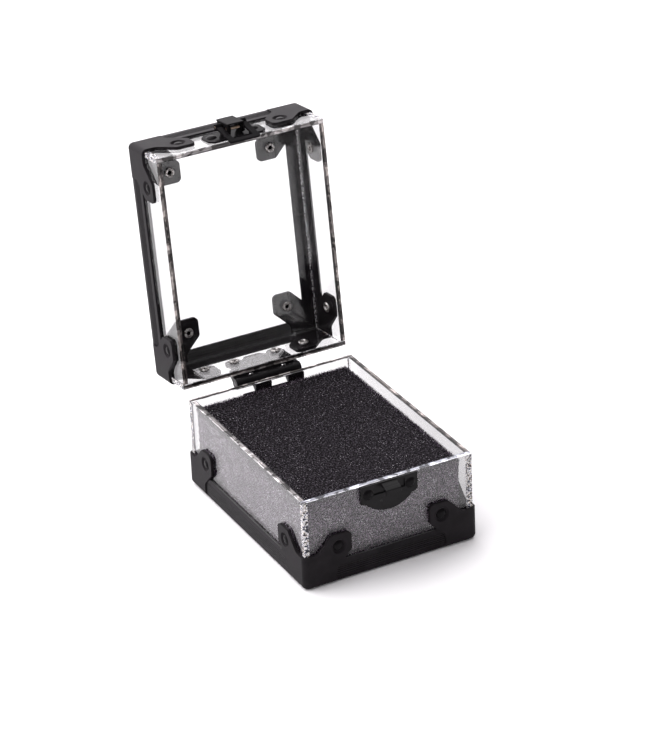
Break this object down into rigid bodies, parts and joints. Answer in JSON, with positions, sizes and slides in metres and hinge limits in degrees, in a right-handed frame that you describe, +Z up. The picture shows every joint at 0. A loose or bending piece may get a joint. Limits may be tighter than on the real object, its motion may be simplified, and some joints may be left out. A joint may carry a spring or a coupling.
{
  "type": "acrylic carry case",
  "caption": "Small clear acrylic carry case with foam inlay, black edge profiles and corner guards, rear-hinged lid and a draw latch.",
  "frame": {"origin": "middle of the open case's footprint, on the surface that the four tray corner guards stand on", "axes": "+X across the front to the right, -Y towards the latch side (front), +Y towards the hinge, +Z up; lid stored open at its stop"},
  "size_m": [0.1096, 0.2058, 0.2048],
  "materials": {
    "clear_acrylic": "polished clear acrylic sheet",
    "black_guard": "satin black powder coat",
    "black_profile": "satin black anodised extrusion",
    "black_rivet": "black tubular rivets",
    "black_hinge": "gloss black",
    "black_latch": "gloss black",
    "pin_steel": "plated steel",
    "foam": "open-cell foam"
  },
  "bodies": {
    "tray": {"catch_plate": "black_latch", "catch_rivets": "black_rivet", "foam_inlay": "foam", "hinge_leaf_tray": "black_hinge", "hinge_pin": "pin_steel", "hinge_tray_rivets": "black_rivet", "tray_back": "clear_acrylic", "tray_front": "clear_acrylic", "tray_guard_back_left": "black_guard", "tray_guard_back_right": "black_guard", "tray_guard_front_left": "black_guard", "tray_guard_front_right": "black_guard", "tray_guard_rivets": "black_rivet", "tray_left": "clear_acrylic", "tray_panel": "clear_acrylic", "tray_profile_back": "black_profile", "tray_profile_front": "black_profile", "tray_profile_left": "black_profile", "tray_profile_right": "black_profile", "tray_right": "clear_acrylic"},
    "lid": {"hinge_leaf_lid": "black_hinge", "hinge_lid_rivets": "black_rivet", "latch_lever_pin": "pin_steel", "latch_plate": "black_latch", "latch_rivets": "black_rivet", "lid_back": "clear_acrylic", "lid_front": "clear_acrylic", "lid_guard_back_left": "black_guard", "lid_guard_back_right": "black_guard", "lid_guard_front_left": "black_guard", "lid_guard_front_right": "black_guard", "lid_guard_rivets": "black_rivet", "lid_left": "clear_acrylic", "lid_panel": "clear_acrylic", "lid_profile_back": "black_profile", "lid_profile_front": "black_profile", "lid_profile_left": "black_profile", "lid_profile_right": "black_profile", "lid_right": "clear_acrylic"},
    "lever": {"latch_lever": "black_latch", "latch_loop_pin": "pin_steel"},
    "loop": {"latch_loop": "black_latch"}
  },
  "joints": [
    {"name": "lid_hinge", "type": "hinge", "parent": "tray", "child": "lid", "pos_m": [0, 0.04821, 0.0539], "axis": [1, 0, 0], "range_deg": [0, 97]},
    {"name": "latch_lever_pivot", "type": "hinge", "parent": "lid", "child": "lever", "pos_m": [0, 0.07397, 0.20136], "axis": [1, 0, 0], "range_deg": [0, 115]},
    {"name": "latch_loop_pivot", "type": "hinge", "parent": "lever", "child": "loop", "pos_m": [0, 0.07954, 0.20158], "axis": [-1, 0, 0], "range_deg": [0, 131.2]}
  ],
  "couplings": [
    {"joint": "latch_loop_pivot", "follows": "latch_lever_pivot", "ratio": 1.14}
  ]
}
